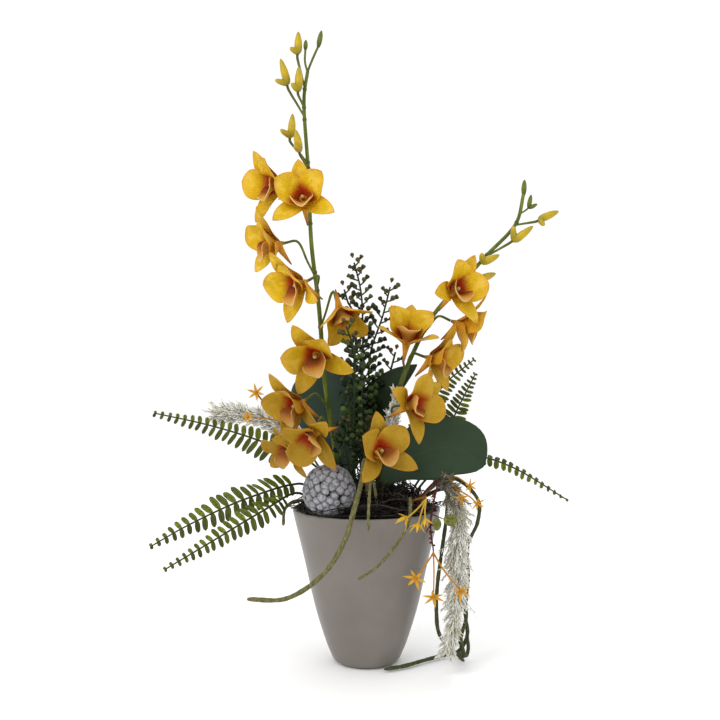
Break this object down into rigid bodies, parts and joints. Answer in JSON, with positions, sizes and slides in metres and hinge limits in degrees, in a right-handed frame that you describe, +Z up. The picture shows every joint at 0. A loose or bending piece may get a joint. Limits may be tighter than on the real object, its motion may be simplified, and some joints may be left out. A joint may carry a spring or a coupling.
{
  "type": "potted orchid",
  "caption": "Potted orchid arrangement: two arching stems of golden blooms and buds over leaves, ferns, berries and trailing roots in a tapered grey ceramic pot.",
  "frame": {"origin": "middle of the pot's foot, where it stands", "axes": "+Z up, from the pot's foot to the tallest bud; the front of the arrangement faces -Y; +X is to the right seen from the front"},
  "size_m": [0.464, 0.1827, 0.684],
  "materials": {
    "pot_glaze": "satin grey-taupe glaze",
    "filling": "dark potting filling",
    "dark_twig": "tangle of dark twigs",
    "orchid_stem": "smooth green stem",
    "petal_gold": "gold petals, red throat, peach lip",
    "bud_yellow": "glossy greenish yellow bud",
    "leaf_blue_green": "blue-green strap leaf",
    "leaf_dark_green": "dark green satin leaf",
    "fern_green": "fern leaflets",
    "berry_green": "dark green berries",
    "spray_white": "fine whitish fibres",
    "ball_grey": "grey knobbed ball",
    "root_olive": "bark-like aerial root",
    "strand_green": "thin dark green strand",
    "star_yellow": "golden star flowers",
    "star_orange": "orange star flowers",
    "twig_red": "red-brown twig",
    "leaflet_olive": "small olive leaf"
  },
  "bodies": {
    "root": {"orchid_stem_left": "orchid_stem", "bloom_left_1": "petal_gold", "bloom_left_2": "petal_gold", "bloom_left_3": "petal_gold", "bloom_left_4": "petal_gold", "bloom_left_5": "petal_gold", "bloom_left_6": "petal_gold", "bloom_left_7": "petal_gold", "bloom_left_8": "petal_gold", "bloom_left_9": "petal_gold", "bud_left_1": "bud_yellow", "bud_left_2": "bud_yellow", "bud_left_3": "bud_yellow", "bud_left_4": "bud_yellow", "bud_left_5": "bud_yellow", "orchid_stem_right": "orchid_stem", "bloom_right_1": "petal_gold", "bloom_right_2": "petal_gold", "bloom_right_3": "petal_gold", "bloom_right_4": "petal_gold", "bloom_right_5": "petal_gold", "bloom_right_6": "petal_gold", "bud_right_1": "bud_yellow", "bud_right_2": "bud_yellow", "bud_right_3": "bud_yellow", "bud_right_4": "bud_yellow", "leaf_back": "leaf_blue_green", "leaf_folded": "leaf_dark_green", "leaf_front": "leaf_dark_green", "fern_left_upper": "fern_green", "fern_left_middle": "fern_green", "fern_left_lower": "fern_green", "fern_right_low": "fern_green", "fern_right_back": "fern_green", "fern_right_front": "fern_green", "berry_spray_back": "berry_green", "berry_spray_front": "berry_green", "white_spray_left": "spray_white", "white_spray_trailing": "spray_white", "white_spray_back": "spray_white", "root_long": "root_olive", "root_straight": "root_olive", "root_short": "root_olive", "root_left": "root_olive", "strand_right": "strand_green", "strand_inner": "strand_green", "star_spray_front": "star_yellow", "star_spray_hanging": "star_orange", "star_spray_right": "star_orange", "star_spray_left": "star_orange", "red_twig": "twig_red", "small_leaf_round": "leaflet_olive", "small_leaf_drop": "leaflet_olive", "berry_ball": "ball_grey", "twig_nest": "dark_twig", "filling": "filling", "pot": "pot_glaze"}
  },
  "joints": []
}
